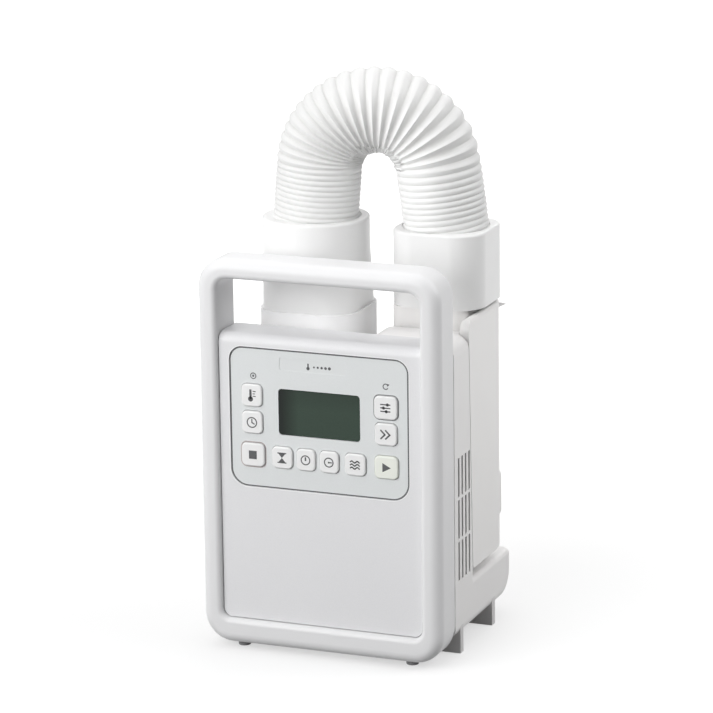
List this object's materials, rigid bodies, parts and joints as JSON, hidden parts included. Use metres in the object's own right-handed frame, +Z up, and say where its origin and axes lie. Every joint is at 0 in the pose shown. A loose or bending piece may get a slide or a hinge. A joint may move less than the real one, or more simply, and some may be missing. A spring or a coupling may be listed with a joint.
{
  "type": "bedding dryer",
  "caption": "Upright warm-air bedding dryer with a carrying loop, keypad panel, ribbed arch hose and a flapped nozzle docked at its side.",
  "frame": {"origin": "floor level under the middle of the dryer", "axes": "+X to the right as seen from the keypad, +Y to the back, +Z up"},
  "size_m": [0.163, 0.139, 0.3679],
  "materials": {
    "white_shell": "satin gloss",
    "panel_grey": "fine satin",
    "display_glass": "dark liquid-crystal window",
    "sign_lens": "satin",
    "key_white": "satin",
    "hose_white": "satin",
    "leg_grey": "matte",
    "foot_rubber": "matte",
    "steel": "bright",
    "board_green": "solder-mask green",
    "black_plastic": "matte",
    "inner_plastic": "matte",
    "duct_metal": "plain sheet"
  },
  "bodies": {
    "case": {"front_frame": "white_shell", "frame_ring": "white_shell", "body_shell": "white_shell", "hose_cuff": "white_shell", "outlet_ring": "white_shell", "base_plate": "white_shell", "front_panel": "panel_grey", "control_plate": "panel_grey", "display_window": "display_glass", "sign_lens": "sign_lens", "sign_lamp": "sign_lens", "hose": "hose_white", "front_legs": "leg_grey", "rear_legs": "leg_grey", "front_feet": "foot_rubber", "cord_bush": "foot_rubber", "frame_screws": "steel", "board_screws": "steel", "base_screws": "steel", "fan_motor": "steel", "thermostat": "steel", "control_board": "board_green", "power_board": "board_green", "display_module": "black_plastic", "tact_switches": "black_plastic", "transformer": "black_plastic", "capacitor": "black_plastic", "relay": "black_plastic", "scroll_front": "inner_plastic", "scroll_back": "inner_plastic", "heater_duct": "duct_metal", "heater_core": "duct_metal", "thermal_fuse": "duct_metal"},
    "nozzle": {"nozzle_collar": "white_shell", "nozzle_shell": "white_shell", "nozzle_grille": "white_shell", "flap_pin": "steel"},
    "flap": {"nozzle_flap": "white_shell"},
    "fan": {"fan_impeller": "inner_plastic", "motor_shaft": "steel"},
    "filter_door": {"filter_cover": "white_shell", "filter_mesh": "black_plastic"},
    "key_temperature": {"key_temperature": "key_white"},
    "key_time": {"key_time": "key_white"},
    "key_stop": {"key_stop": "key_white"},
    "key_reserve": {"key_reserve": "key_white"},
    "key_hour": {"key_hour": "key_white"},
    "key_minute": {"key_minute": "key_white"},
    "key_keep_warm": {"key_keep_warm": "key_white"},
    "key_start": {"key_start": "key_white"},
    "key_turbo": {"key_turbo": "key_white"},
    "key_mode": {"key_mode": "key_white"}
  },
  "joints": [
    {"name": "nozzle_pull", "type": "slide", "parent": "case", "child": "nozzle", "axis": [1, 0, 0], "range_m": [0, 0.07], "deforming": ["hose"]},
    {"name": "flap_swing", "type": "hinge", "parent": "nozzle", "child": "flap", "pos_m": [0.0762, 0.0205, 0.211], "axis": [0, -1, 0], "range_deg": [0, 45]},
    {"name": "fan_spin", "type": "hinge", "parent": "case", "child": "fan", "pos_m": [-0.0282, 0.0045, 0.09], "axis": [0, 1, 0], "continuous": true},
    {"name": "filter_door_swing", "type": "hinge", "parent": "case", "child": "filter_door", "pos_m": [-0.0282, 0.0518, 0.0502], "axis": [-1, 0, 0], "range_deg": [0, 75]},
    {"name": "key_temperature_press", "type": "slide", "parent": "case", "child": "key_temperature", "axis": [0, 1, 0], "range_m": [0, 0.0006], "stiffness_N_per_m": 400},
    {"name": "key_time_press", "type": "slide", "parent": "case", "child": "key_time", "axis": [0, 1, 0], "range_m": [0, 0.0006], "stiffness_N_per_m": 400},
    {"name": "key_stop_press", "type": "slide", "parent": "case", "child": "key_stop", "axis": [0, 1, 0], "range_m": [0, 0.0006], "stiffness_N_per_m": 400},
    {"name": "key_reserve_press", "type": "slide", "parent": "case", "child": "key_reserve", "axis": [0, 1, 0], "range_m": [0, 0.0006], "stiffness_N_per_m": 400},
    {"name": "key_hour_press", "type": "slide", "parent": "case", "child": "key_hour", "axis": [0, 1, 0], "range_m": [0, 0.0006], "stiffness_N_per_m": 400},
    {"name": "key_minute_press", "type": "slide", "parent": "case", "child": "key_minute", "axis": [0, 1, 0], "range_m": [0, 0.0006], "stiffness_N_per_m": 400},
    {"name": "key_keep_warm_press", "type": "slide", "parent": "case", "child": "key_keep_warm", "axis": [0, 1, 0], "range_m": [0, 0.0006], "stiffness_N_per_m": 400},
    {"name": "key_start_press", "type": "slide", "parent": "case", "child": "key_start", "axis": [0, 1, 0], "range_m": [0, 0.0006], "stiffness_N_per_m": 400},
    {"name": "key_turbo_press", "type": "slide", "parent": "case", "child": "key_turbo", "axis": [0, 1, 0], "range_m": [0, 0.0006], "stiffness_N_per_m": 400},
    {"name": "key_mode_press", "type": "slide", "parent": "case", "child": "key_mode", "axis": [0, 1, 0], "range_m": [0, 0.0006], "stiffness_N_per_m": 400}
  ]
}
